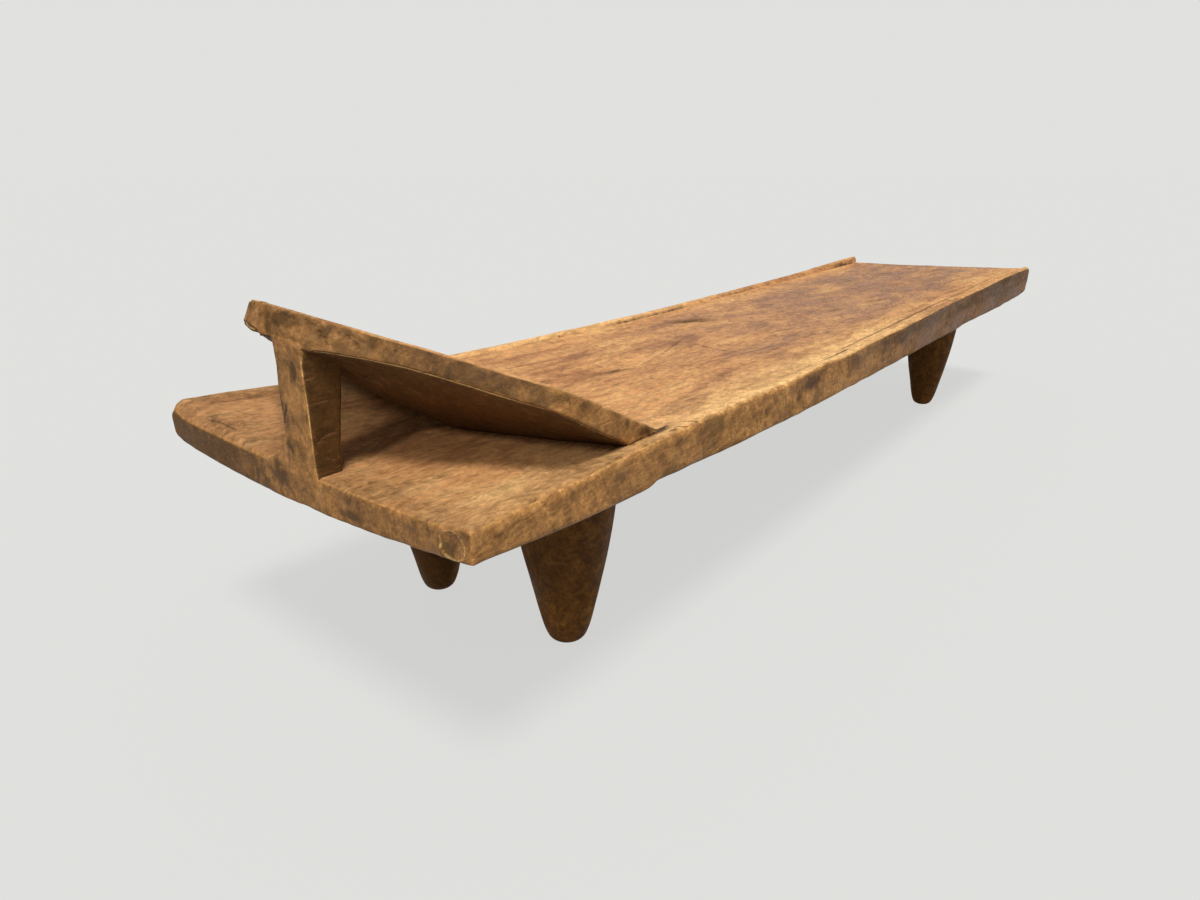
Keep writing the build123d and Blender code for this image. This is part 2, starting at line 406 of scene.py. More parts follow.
@dataclass(eq=False)
class Slab:
    """The long slab: bed, platform below the headrest, raised edges and hewn sides."""

    length: float = 2.08
    right_edge: Run = Run((
        (0, -0.2750), (0.33, -0.2715), (0.88, -0.2650), (1.48, -0.2560), (2.08, -0.2540),
    ))
    left_edge: Run = Run((
        (0, 0.2815), (0.05, 0.2815), (0.15, 0.2730), (0.33, 0.2600), (0.88, 0.2490), (1.48, 0.2575),
        (2.08, 0.2580),
    ))
    right_rim: Run = Run((
        (0, 0.3118), (0.11, 0.3135), (0.30, 0.3180), (0.48, 0.3180), (0.60, 0.3155), (0.72, 0.3180),
        (0.81, 0.3150), (0.90, 0.3185), (1.07, 0.3190), (1.34, 0.3245), (1.60, 0.3265),
        (1.85, 0.3310), (2.08, 0.3290),
    ))
    left_rim: Run = Run((
        (0, 0.3275), (0.11, 0.3205), (0.33, 0.3115), (0.88, 0.3070), (1.48, 0.3100), (2.08, 0.3265),
    ))
    right_bed: Run = Run((
        (0, 0.3085), (0.11, 0.3110), (0.33, 0.3155), (0.60, 0.3140), (0.90, 0.3155), (1.07, 0.3162),
        (1.34, 0.3215), (1.60, 0.3235), (1.85, 0.3278), (2.08, 0.3262),
    ))
    left_bed: Run = Run((
        (0, 0.3250), (0.11, 0.3170), (0.33, 0.3075), (0.88, 0.3020), (1.48, 0.3045), (2.08, 0.3090),
    ))
    dish: Run = Run(((0, 0.0120), (0.4, 0.0110), (1.2, 0.0090), (1.8, 0.005), (2.08, 0.003)))
    right_under: Run = Run((
        (0, 0.2790), (0.035, 0.2760), (0.11, 0.2700), (0.265, 0.2635), (0.285, 0.2665),
        (0.36, 0.2645), (0.49, 0.2590), (0.78, 0.2550), (1.42, 0.2540), (1.53, 0.2570),
        (1.77, 0.2555), (2.08, 0.2590),
    ))
    left_under: Run = Run((
        (0, 0.2785), (0.11, 0.2700), (0.3, 0.2650), (0.7, 0.2570), (1.4, 0.2550), (2.08, 0.2580),
    ))
    belly: float = 0.0150
    lean: Run = Run(((0, 0.0015), (0.5, 0.0040), (2.08, 0.0040)))
    rim_width: float = 0.0135
    rim_slope: float = 0.0045
    soft_slope: float = 0.0400
    right_lip: Run = Run(((0, 0.0), (0.36, 0.02), (0.60, 0.45), (0.90, 1.0)))
    left_lip: Run = Run(((0, 0.45), (0.40, 0.75), (0.70, 1.0)))
    ripples: tuple[tuple[float, float, float, float], ...] = (
        # height, how close along the bed, how close across, seed
        (0.0014, 3.1, 9, 1.7),
        (0.0007, 11, 26, 4.2),
        (0.0004, 34, 90, 9.1),
    )
    chatter_depth: float = 0.0016
    groove_depth: float = 0.0010
    groove_width: float = 0.0024
    arris: float = 0.0050
    arris_unevenness: float = 0.28
    right_arris: Run = Run((
        (0, 0.0060), (0.05, 0.0090), (0.50, 0.0080), (0.80, 0.0042), (1.60, 0.0036), (2.08, 0.0040),
    ))
    corner_rounding: tuple[tuple[float, float, float, float], ...] = (
        # distance from the head end, across, reach, extra radius
        (0.0, 0.281, 0.045, 0.0065),
        (0.0, -0.275, 0.030, -0.0010),
        (2.08, 0.258, 0.040, 0.0060),
        (2.08, -0.254, 0.040, 0.0060),
    )
    facet_place: Place = (-1.0400, -0.2500, 0.2920)
    facet_reach: tuple[float, float] = (0.0150, 0.0130)
    facet_depth: float = 0.0013
    side_adze: Adze = Adze((0.056, 0.040, 0.036), 0.0017, 3.0)
    end_adze: Adze = Adze((0.056, 0.026, 0.050), 0.0015, 3.0)
    bed_adze: Adze = Adze((0.150, 0.060, 0.060), 0.0011, 8.0)
    under_adze: Adze = Adze((0.090, 0.050, 0.050), 0.0018, 6.0)
    marks: tuple[Mark, ...] = marks_of(
        Marking.DARK,
        # scuffs and stains on the bed
        (-0.065, 0.139, 0.305, 0.085, 0.026, 0.03, 0.88, -0.45),
        (-0.498, 0.004, 0.305, 0.055, 0.018, 0.03, 0.80, -0.30),
        (-0.393, 0.088, 0.305, 0.032, 0.012, 0.03, 0.60, -0.30),
        (-0.108, -0.073, 0.305, 0.022, 0.009, 0.03, 0.68, 0.3),
        (-0.040, -0.066, 0.305, 0.030, 0.008, 0.03, 0.70, -0.2),
        (-0.090, -0.091, 0.305, 0.016, 0.010, 0.03, 0.60),
        (0.057, -0.076, 0.308, 0.035, 0.010, 0.03, 0.62),
        (0.202, -0.055, 0.308, 0.050, 0.017, 0.03, 0.62, -0.2),
        (0.366, -0.090, 0.308, 0.080, 0.022, 0.03, 0.58, -0.15),
        (0.639, -0.039, 0.310, 0.110, 0.020, 0.03, 0.58, -0.2),
        (0.729, -0.098, 0.310, 0.130, 0.026, 0.03, 0.56, -0.15),
        (0.908, -0.033, 0.312, 0.080, 0.024, 0.03, 0.56),
        (0.860, 0.130, 0.312, 0.120, 0.030, 0.03, 0.45),
        (-0.250, -0.105, 0.305, 0.100, 0.010, 0.03, 0.50, -0.12),
        # dark ovals along the right side
        (-0.362, -0.265, 0.299, 0.050, 0.02, 0.017, 0.88),
        (-0.402, -0.265, 0.285, 0.014, 0.02, 0.014, 0.75),
        (-0.502, -0.265, 0.288, 0.016, 0.02, 0.014, 0.72),
        (-0.190, -0.262, 0.292, 0.055, 0.02, 0.022, 0.70),
        (-0.538, -0.265, 0.289, 0.018, 0.02, 0.010, 0.62),
        (-0.643, -0.265, 0.278, 0.050, 0.02, 0.016, 0.62),
        (-0.830, -0.268, 0.292, 0.032, 0.02, 0.022, 0.60),
        (-0.935, -0.272, 0.270, 0.010, 0.02, 0.013, 0.75),
        (-1.008, -0.275, 0.297, 0.011, 0.02, 0.006, 0.85),
        # the crease where the headrest's side runs out, and the head end
        (-0.738, -0.247, 0.316, 0.038, 0.013, 0.020, 1.05),
        (-0.788, -0.256, 0.313, 0.011, 0.006, 0.020, 0.80),
        (-0.722, -0.264, 0.316, 0.013, 0.005, 0.020, 0.80),
        (-0.690, -0.238, 0.316, 0.020, 0.012, 0.020, 0.62),
        (-1.040, 0.238, 0.297, 0.02, 0.032, 0.016, 1.20),
        (-1.040, 0.023, 0.291, 0.02, 0.026, 0.018, 1.05),
        (-1.040, -0.098, 0.278, 0.02, 0.034, 0.010, 0.95),
        (-1.036, -0.222, 0.310, 0.02, 0.026, 0.010, 0.62),
        (-1.040, -0.250, 0.291, 0.01, 0.013, 0.012, 0.86),
        (-1.014, -0.190, 0.309, 0.022, 0.030, 0.020, 0.62),
    ) + (
        Mark(Marking.RUSSET, (-0.180, -0.096, 0.308), (0.160, 0.040, 0.03), 0.80),
        Mark(Marking.PALE, (-0.955, -0.225, 0.311), (0.050, 0.024, 0.020), 0.90),
    )

    @lru_cache(maxsize=SIZES_KEPT)
    def sizes(self, from_head: float) -> tuple[float, ...]:
        """Read every changing size at one distance from the head end."""
        edges = (self.right_edge, self.left_edge, self.right_rim, self.left_rim)
        inner = (self.right_bed, self.left_bed, self.dish, self.right_under, self.left_under)
        runs = (*edges, *inner, self.right_lip, self.left_lip, self.lean)
        return tuple(run.at(from_head) for run in runs)

    def top_z(self, from_head: float, y: float) -> float:
        """Give the height of the upper surface.

        Args:
            from_head: Distance from the head end.
            y: Place across the bed.

        Returns:
            Height above the floor.
        """
        right, left, right_rim, left_rim, right_bed, left_bed, dish = self.sizes(from_head)[:7]
        right_lip, left_lip = self.sizes(from_head)[9:11]
        share = min(max((y - right) / (left - right), 0.0), 1.0)
        height = between(right_bed, left_bed, share) - dish * (1 - (2 * share - 1) ** 2)
        x = from_head + HEAD_X
        for tall, along, across, seed in self.ripples:
            height += tall * noise.noise(Vector((x * along, y * across, seed)))
        for gap, rim, lip in ((y - right, right_rim, right_lip), (left - y, left_rim, left_lip)):
            edge, slope = self.rim_at(x, rim, lip)
            rise = 1 - ease(edge, edge + slope, gap)
            uneven = 0.0007 * noise.noise(Vector((x * 22, y * 10, 7.7)))
            height = between(height, rim + uneven, rise)
            groove = exp(-(((gap - edge - slope) / self.groove_width) ** 2))
            height -= lip * self.groove_depth * groove
        chatter = ease(0.34, 0.38, from_head) * (1 - ease(0.58, 0.72, from_head))
        chatter *= 1 - ease(0.012, 0.045, y - right)
        bite = ease(0.05, 0.5, noise.noise(Vector((x * 95 + y * 60, y * 22, 2.2))))
        height -= self.chatter_depth * chatter * bite
        return height

    def rim_at(self, x: float, rim: float, lip: float) -> tuple[float, float]:
        """Say where a raised edge starts to fall towards the bed, and over what width.

        Args:
            x: Place along the bed.
            rim: Height of the raised edge, which tells the two edges apart.
            lip: How sharply it stands up, from 0 to 1.

        Returns:
            Its distance from the side face and the width of its slope.
        """
        wander = 0.0013 * noise.noise(Vector((x * 6, rim * 40, 0.3)))
        width = between(0.002, self.rim_width + wander, lip)
        return width, between(self.soft_slope, self.rim_slope, lip)

    def bevel(self, from_head: float, y: float) -> float:
        """Return how far the left half of the head end's upper arris is planed down."""
        width = between(0.004, 0.017, ease(0.02, 0.27, y))
        return 0.55 * max(0.0, width - from_head) * ease(0.03, 0.06, y)

    def shape(self, from_head: float, share: float, height: float) -> Shaped:
        """Place one vertex of the slab.

        Args:
            from_head: Distance from the head end.
            share: Share of the way across, from the right edge.
            height: Share of the way up, from the underside.

        Returns:
            The carved vertex.
        """
        right, left = self.sizes(from_head)[:2]
        right_under, left_under = self.sizes(from_head)[7:9]
        lean = self.sizes(from_head)[11]
        y = between(right, left, share)
        top = self.top_z(from_head, y) - self.bevel(from_head, y)
        under = between(right_under, left_under, share) - self.belly * (1 - (2 * share - 1) ** 2)
        z = between(under, top, height)
        spot = Vector((from_head + HEAD_X, y - lean * (1 - height) * (2 * share - 1), z))

        radius = self.arris
        if share < 0.5:
            radius = between(radius, self.right_arris.at(from_head), ease(0.3, 0.7, height))
        for corner_from_head, corner_y, reach, extra in self.corner_rounding:
            radius += extra * exp(-((hypot(from_head - corner_from_head, y - corner_y) / reach) ** 2))
        radius *= 1 + self.arris_unevenness * noise.noise(spot * 30)
        gaps = ways_out(
            (from_head > self.length / 2, from_head, self.length - from_head),
            (share > 0.5, y - right, left - y),
            (height > 0.5, z - under, top - z),
        )
        move, way_out = rounded(gaps, radius)
        spot += move

        sideways, endways = abs(way_out.y), abs(way_out.x)
        upright = ease(0.15, 0.8, max(sideways, endways))
        deep = 0.0
        if upright > 0:
            deep += upright * (self.end_adze if endways > sideways else self.side_adze).cut(spot)[0]
        if upright < 1:
            deep += (1 - upright) * (self.bed_adze if way_out.z > 0 else self.under_adze).cut(spot)[0]
        spot = spot - way_out * deep
        paint = self.painted(spot, way_out, Paint(wear=worn(move, radius), hewn=upright))
        if from_head < 0.004 and y < -0.2:
            spot, paint = self.with_facet(spot, paint)
        return Shaped(spot, paint)

    def with_facet(self, spot: Vector, paint: Paint) -> tuple[Vector, Paint]:
        """Sink the round facet that was pared into the right corner of the head end.

        Args:
            spot: A vertex of the head end.
            paint: Its paint.

        Returns:
            The vertex and its paint, sunk and worn round the facet's edge.
        """
        across, up = self.facet_reach
        away = hypot((spot.y - self.facet_place[1]) / across, (spot.z - self.facet_place[2]) / up)
        inside = 1 - ease(0.88, 1.06, away)
        ring = exp(-(((away - 1.08) / 0.14) ** 2))
        spot = spot + Vector((self.facet_depth * inside, 0, 0))
        return spot, paint._replace(wear=max(paint.wear, 0.9 * ring))

    @lru_cache(maxsize=SIZES_KEPT)
    def marks_near(self, from_head: float) -> list[Mark]:
        """List the marks that can show at a distance from the head end."""
        return [mark for mark in self.marks if mark.is_near(from_head + HEAD_X)]

    def painted_shade_at(self, spot: Vector, way_out: Vector, edge_gap: float) -> float:
        """Say how much painted shade darkens the platform, the two end faces, and the side faces low
        down and toward the foot.

        Args:
            spot: A vertex.
            way_out: Its way out of the wood.
            edge_gap: Distance to the nearer side face.

        Returns:
            How dark, from 0 to 1.
        """
        from_head = spot.x - HEAD_X
        # Painted shade on the platform below the headrest, most near its rim and on the left.
        at_rim = 1 - ease(0.0, 0.10, min(edge_gap, from_head))
        platform = 0.36 + 0.22 * at_rim + 0.06 * ease(0.05, 0.20, spot.y)
        platform *= ease(0.5, 0.9, way_out.z) * (1 - ease(0.26, 0.36, from_head))
        # Painted shade on the end faces, most on the left.
        ends = ease(0.4, 0.9, abs(way_out.x)) * between(0.60, 0.96, ease(-0.04, 0.22, spot.y))
        on_side = ease(0.55, 0.95, abs(way_out.y))
        # Painted shade low on the side faces, and on the side faces toward the foot, most just below
        # the arris.
        low_sides = 0.12 * on_side * (1 - ease(0.262, 0.296, spot.z))
        foot_sides = on_side * ease(0.60, 1.05, from_head) * (0.56 + 0.20 * ease(0.284, 0.304, spot.z))
        return max(platform, ends, low_sides, foot_sides)

    def painted(self, spot: Vector, way_out: Vector, paint: Paint) -> Paint:
        """Add the stains, the handling of years, and painted shade, highlight and sheen to a vertex's
        paint.

        Args:
            spot: The vertex.
            way_out: Its way out of the wood.
            paint: What is known of its paint.

        Returns:
            The full paint.
        """
        from_head = round(spot.x - HEAD_X, 3)
        on_top = ease(0.4, 0.9, way_out.z)
        below = ease(0.4, 0.9, -way_out.z)
        sizes = self.sizes(from_head)
        right_gap, left_gap = spot.y - sizes[0], sizes[1] - spot.y
        # Russet greys the bed more and more toward the foot end as painted sheen, and greys the side
        # faces there as painted shade.
        russet = 0.90 * ease(0.30, 1.55, from_head) * ease(0.03, 0.15, min(right_gap, left_gap * 1.5))
        russet = max(on_top * russet, 0.95 * ease(0.80, 1.50, from_head) * (1 - on_top))
        # Pale: both raised edges are worn golden, and the broad strip along the right edge is also a
        # painted highlight.
        pale = on_top * max(1 - ease(0.0, 0.135, right_gap), 1 - ease(0.0, 0.035, left_gap))
        fading = between(1.0, 0.12, ease(0.8, 1.5, from_head))
        pale *= between(0.45, 1.0, ease(0.20, 0.50, from_head)) * fading
        grime = paint.grime
        # A dark line of soiling and painted shade in the groove beside each raised edge.
        for gap, rim, lip, dirt_and_shade in (
            (right_gap, sizes[2], sizes[9], 0.95),
            (left_gap, sizes[3], sizes[10], 0.55 + 0.5 * noise.noise(spot * 7)),
        ):
            edge, slope = self.rim_at(spot.x, rim, lip)
            grime = max(grime, on_top * dirt_and_shade * lip * exp(-(((gap - edge - slope) / 0.0040) ** 2)))
        # Undersides are painted fully dark as shade, and the platform, ends and sides take painted
        # shade as well.
        dark = max(below, self.painted_shade_at(spot, way_out, min(right_gap, left_gap)))
        for mark in self.marks_near(from_head):
            strength = mark.at(spot)
            if mark.kind is Marking.DARK:
                dark = max(dark, strength)
            elif mark.kind is Marking.RUSSET:
                russet = max(russet, strength)
            else:
                pale = max(pale, strength)
        wear = paint.wear * between(0.62, 1.0, ease(0.3, 0.8, from_head))
        if from_head < 0.1:
            wear *= between(1.0, 0.35, ease(0.3, 0.7, -way_out.x))
        return paint._replace(russet=russet, pale=pale, dark=dark, grime=grime, wear=wear)

    def build(self) -> bpy.types.Object:
        """Carve the slab."""
        width, depth = 0.53, 0.055

        def step(place: float) -> float:
            """Give the cell length at a distance from the head end."""
            at_ends = min(place, self.length - place)
            return min(0.0016 + at_ends * 0.12, between(0.0038, 0.0082, ease(0.3, 1.1, place)))

        def step_across(place: float) -> float:
            """Give the cell width at a distance from one long edge."""
            gap = min(place, width - place)
            return between(0.0015, 0.0023, ease(0.004, 0.008, gap)) + 0.0042 * ease(0.02, 0.07, gap)

        def step_up(place: float) -> float:
            """Give the cell height at a distance from the underside."""
            return 0.0018 + 0.0030 * ease(0.004, 0.012, min(place, depth - place))

        across = [place / width for place in march(width, step_across)]
        up = [place / depth for place in march(depth, step_up)]
        return Block(march(self.length, step), across, up).carve("slab_carved", self.shape)


@dataclass(eq=False)
class Board:
    """The sloping headrest board: an arrow-shaped wedge with thin wings and a ridge below."""

    slab: Slab
    top_height: float = 0.476
    slope: float = tan(radians(27.1))
    tail: float = 0.362
    right_edge: Run = Run((
        (0, 0.013), (0.0008, 0.007), (0.003, -0.002), (0.007, -0.014), (0.013, -0.031),
        (0.025, -0.052), (0.047, -0.081), (0.078, -0.137), (0.108, -0.188), (0.136, -0.233),
        (0.150, -0.2480), (0.172, -0.2545), (0.214, -0.2550), (0.271, -0.2525), (0.362, -0.2440),
    ))
    left_edge: Run = Run((
        (0, 0.030), (0.0015, 0.036), (0.006, 0.044), (0.013, 0.054), (0.047, 0.103), (0.078, 0.157),
        (0.108, 0.207), (0.136, 0.247), (0.150, 0.2570), (0.172, 0.2615), (0.214, 0.2600),
        (0.271, 0.2560), (0.362, 0.2480),
    ))
    edge_tone: Run = Run((
        (0, 0.62), (0.06, 0.76), (0.10, 0.88), (0.13, 0.80), (0.155, 0.52), (0.20, 0.44),
        (0.40, 0.42),
    ))
    right_thickness: Run = Run((
        (0, 0.0375), (0.0195, 0.0350), (0.036, 0.0300), (0.052, 0.0268), (0.08, 0.0235),
        (0.14, 0.0240), (0.20, 0.0280), (0.29, 0.0302),
    ))
    left_thickness: Run = Run((
        (0, 0.0235), (0.03, 0.0215), (0.14, 0.0220), (0.20, 0.0260), (0.29, 0.0300),
    ))
    ridge_y: float = -0.023
    ridge_depth: Run = Run((
        (0, 0.0310), (0.004, 0.0365), (0.034, 0.0385), (0.061, 0.0400), (0.101, 0.0510),
        (0.133, 0.0545), (0.20, 0.0600), (0.362, 0.0800),
    ))
    ridge_curve: float = 0.92
    arris: float = 0.0036
    arris_unevenness: float = 0.35
    arris_over_post: float = 0.3
    post_reach: float = 0.03
    post_right: float = -0.0530
    post_left: float = 0.0120
    adze: Adze = EDGE_ADZE
    under_adze: Adze = Adze((0.10, 0.05, 0.05), 0.0014, 5.0)
    marks: tuple[Mark, ...] = marks_of(
        Marking.DARK,
        (-1.036, -0.012, 0.462, 0.020, 0.016, 0.012, 1.10),
        (-1.022, -0.062, 0.452, 0.020, 0.020, 0.012, 1.05),
        (-1.000, -0.110, 0.442, 0.020, 0.026, 0.009, 0.90),
        (-0.869, -0.252, 0.3745, 0.021, 0.020, 0.013, 0.76),
        (-0.900, -0.250, 0.392, 0.020, 0.020, 0.012, 0.72),
        (-0.797, -0.250, 0.342, 0.010, 0.020, 0.008, 0.72),
        (-0.760, -0.248, 0.325, 0.034, 0.020, 0.010, 1.00),
        (-0.930, 0.235, 0.410, 0.040, 0.030, 0.014, 0.70),
        (-0.800, 0.255, 0.350, 0.030, 0.020, 0.014, 0.70),
    )

    @lru_cache(maxsize=SIZES_KEPT)
    def sizes(self, from_head: float) -> tuple[float, ...]:
        """Read every changing size and the slopes of both edges at one station."""
        small = 0.002
        edges = (self.right_edge, self.left_edge)
        slants = [
            (edge.at(from_head + small) - edge.at(from_head - small)) / (2 * small)
            for edge in edges
        ]
        depths = (self.right_thickness, self.left_thickness, self.ridge_depth)
        sizes = [run.at(from_head) for run in (*edges, *depths)]
        return (*sizes[:2], *slants, *sizes[2:])

    def shape(self, from_head: float, share: float, height: float) -> Shaped:
        """Place one vertex of the board.

        Args:
            from_head: Distance of the upper surface's point from the head end.
            share: Share of the way across, from the right edge.
            height: Share of the way up, from the underside.

        Returns:
            The carved vertex.
        """
        right, left, right_slant, left_slant, right_thick, left_thick, ridge = self.sizes(from_head)
        y = between(right, left, share)
        plane_z = self.top_height - self.slope * from_head
        plane_z += 0.0010 * noise.noise(Vector((from_head * 9, y * 12, 3.3)))
        bed_z = self.slab.top_z(from_head, y)
        edge_gap = min(y - right, left - y)
        blend = between(0.003, 0.012, ease(0.0, 0.04, edge_gap))
        rise = plane_z - bed_z
        top_z = bed_z + 0.5 * (rise + hypot(rise, blend)) - 0.0022 * (1 - ease(0.0, 0.03, rise))
        normal = Vector((self.slope, 0, 1)).normalized()

        ridge_y = min(max(self.ridge_y, right + 0.004), left - 0.004)
        if y < ridge_y:
            thick, toward = right_thick, (y - right) / (ridge_y - right)
        else:
            thick, toward = left_thick, (left - y) / (left - ridge_y)
        depth = between(thick, ridge, max(0.0, toward) ** self.ridge_curve)
        down = depth * (1 - height)
        spot = Vector((from_head, y, top_z)) - normal * down
        over_post = from_head < self.post_reach and self.post_right < y < self.post_left

        slant = left_slant if share > 0.5 else right_slant
        square = Vector((-slant, 1 + self.slope**2, slant * self.slope)).normalized()
        edge_out = square if share > 0.5 else -square
        at_top = height > 0.5
        side_gap = (left - y if share > 0.5 else y - right) * abs(edge_out.y)
        if from_head < side_gap:
            edge_out, side_gap = Vector((-1, 0, 0)), from_head
        face_out = (normal, down) if at_top else (-normal, depth - down)
        gaps = [(edge_out, side_gap), face_out]
        radius = self.arris * (1 + self.arris_unevenness * noise.noise(spot * 35))
        if over_post and not at_top:
            radius *= self.arris_over_post
        move, way_out = rounded(gaps, radius)
        spot += move
        wear = 0.0 if over_post and not at_top else worn(move, radius)
        flush_x = 0.5 * (spot.x + hypot(spot.x, 0.005)) - 0.0008
        spot.x = between(flush_x, spot.x, ease(0.006, 0.024, y)) + HEAD_X

        on_edge = ease(0.3, 0.8, 1 - abs(way_out.dot(normal)))
        deep = 0.0
        if on_edge > 0:
            deep += on_edge * self.adze.cut(spot)[0]
        if on_edge < 1:
            deep += (1 - on_edge) * self.under_adze.cut(spot)[0] * (0.4 if at_top else 1.0)
        spot -= way_out * deep
        # The underside is painted dark, and given the near-black colour as well, as shade.
        below = ease(0.2, 0.6, -way_out.dot(normal))
        paint = Paint(wear=wear, hewn=on_edge)
        if at_top and on_edge < 0.5:
            paint = self.slab.painted(spot, way_out, paint)
        marked = max(mark.at(spot) for mark in self.marks)
        dark = max(paint.dark, below, on_edge * self.edge_tone.at(from_head), marked)
        # Painted shade in the crease where the sides meet the bed.
        near_bed = on_edge * (1 - ease(0.0, 0.007, spot.z - bed_z))
        grime = max(paint.grime, 0.8 * near_bed, 0.42 * below)
        return Shaped(spot, paint._replace(dark=dark, grime=grime))

    def on_band(self, y: float, down: float) -> Vector:
        """Find a point of the right front edge's face.

        Args:
            y: Place across.
            down: Distance below the upper arris, along the face.

        Returns:
            The point.
        """
        back = self.edge_back(y)
        lean = 1 / hypot(self.slope, 1)
        z = self.top_height - self.slope * back - lean * down
        return Vector((back - self.slope * lean * down + HEAD_X, y, z))

    def lower_edge(self, y: float) -> float:
        """Find how high the lower arris of the right front edge lies at a place across."""
        back = self.edge_back(y)
        lean = 1 / hypot(self.slope, 1)
        return self.top_height - self.slope * back - self.right_thickness.at(back) * lean

    def edge_back(self, y: float) -> float:
        """Find how far back from the head end the upper arris lies at a place across."""
        back = 0.0
        while back < 0.05 and self.right_edge.at(back) > y:
            back += 0.0004
        return back

    def front_at(self, y: float, z: float) -> float:
        """Find how far back from the head end the board's edge lies.

        Args:
            y: Place across.
            z: Height.

        Returns:
            Distance from the head end.
        """
        back = self.edge_back(y)
        top_z = self.top_height - self.slope * back
        return max(0.0, back - self.slope * max(0.0, top_z - z))

    def build(self) -> bpy.types.Object:
        """Carve the board."""
        width, thick = 0.5, 0.030

        def step(place: float) -> float:
            """Give the cell length at a distance from the head end."""
            return min(0.0005 + place * 0.15, between(0.0018, 0.0034, ease(0.14, 0.18, place)))

        def step_across(place: float) -> float:
            """Give the cell width at a distance from one edge."""
            gap = min(place, width - place)
            return 0.0012 + 0.0033 * ease(0.004, 0.03, gap)

        def step_up(place: float) -> float:
            """Give the cell height at a distance from the underside."""
            return 0.0011 + 0.0016 * ease(0.002, 0.006, min(place, thick - place))

        across = [place / width for place in march(width, step_across)]
        up = [place / thick for place in march(thick, step_up)]
        block = Block(march(self.tail, step), across, up)
        return block.carve("headrest_board_carved", self.shape)


@dataclass
class Post:
    """The short post: flush with the head end, its root flaring to the left."""

    board: Board
    right: float = -0.0460
    left: float = 0.0050
    foot_z: float = 0.276
    head_z: float = 0.4500
    root_depth: float = 0.0320
    head_depth: float = 0.0450
    flare: float = 0.048
    flare_height: float = 0.045
    root_z: float = 0.303
    flare_curve: float = 2.4
    fillet: float = 0.010
    fillet_spread: float = 0.0012
    draw_in: float = 0.002
    arris: float = 0.0046
    arris_unevenness: float = 0.35
    adze: Adze = EDGE_ADZE
    marks: tuple[Mark, ...] = marks_of(
        Marking.DARK,
        (-1.04, -0.030, 0.412, 0.02, 0.012, 0.014, 0.95),
        (-1.04, 0.004, 0.375, 0.02, 0.010, 0.016, 0.90),
        (-1.04, -0.005, 0.330, 0.02, 0.014, 0.012, 0.85),
        (-1.04, 0.025, 0.300, 0.02, 0.016, 0.014, 1.00),
    )

    def shape(self, front: float, share: float, height: float) -> Shaped:
        """Place one vertex of the post.

        Args:
            front: Share of the way back from the front face.
            share: Share of the way across, from the right side.
            height: Share of the way up.

        Returns:
            The carved vertex.
        """
        z = between(self.foot_z, self.head_z, height)
        rise = max(z - self.root_z, 0.0)
        grown = (1 - min(rise / self.flare_height, 1.0)) ** self.flare_curve
        small = (1 - min(rise / self.fillet, 1.0)) ** 2
        drawn_in = self.draw_in * ease(0.375, 0.436, z)
        right = self.right - self.fillet_spread * small + drawn_in
        left = self.left + self.flare * grown
        depth = between(self.root_depth, self.head_depth, ease(0, 0.13, rise))
        y = between(right, left, share)
        back = depth * front
        wave = 0.0012 * noise.noise(Vector((1.3, y * 12, z * 14)))
        spot = Vector((back, y + wave, z))
        gaps = ways_out(
            (front > 0.5, back, depth - back),
            (share > 0.5, y - right, left - y),
            (height > 0.5, z - self.foot_z, self.head_z - z),
        )
        radius = self.arris * (1 + self.arris_unevenness * noise.noise(spot * 40))
        move, way_out = rounded(gaps, radius)
        spot += move
        wear = worn(move, radius) * ease(0.2, 0.6, 1 - abs(way_out.z))
        lower_edge = self.board.lower_edge(y)
        at_neck = ease(lower_edge - 0.016, lower_edge - 0.001, z)
        recess = at_neck * self.board.front_at(y, max(z, lower_edge))
        recess += 0.0026 * ease(lower_edge + 0.003, lower_edge + 0.008, z) - 0.0004 * at_neck
        sink = between(0.0016, -0.0003, ease(0.283, 0.301, z))
        spot.x = spot.x + (1 - front) * (recess + sink) + HEAD_X
        deep = self.adze.cut(spot)[0]
        on_front = ease(0.3, 0.8, -way_out.x)
        spot -= way_out * deep * between(0.3, 1.0, on_front)
        # Painted shade: the sides and back, under the board, are fully dark and the front face half as
        # dark, darkest at the root where the sides and back meet the platform.
        dark = max(between(1.0, 0.55, on_front), *(mark.at(spot) for mark in self.marks))
        grime = 0.7 * (1 - ease(0.0, 0.006, spot.z - self.root_z)) * (1 - on_front)
        return Shaped(spot, Paint(dark=dark, wear=wear * (1 - at_neck), hewn=1.0, grime=grime))

    def build(self) -> bpy.types.Object:
        """Carve the post."""

        def lines(finest: float, more: float) -> list[float]:
            """Mark off cells that are finest beside the arrises and coarser between them."""
            return march(1.0, lambda p: finest + more * ease(0.06, 0.2, min(p, 1 - p)))

        block = Block(lines(0.022, 0.03), lines(0.016, 0.02), lines(0.010, 0.0))
        return block.carve("headrest_post_carved", self.shape)


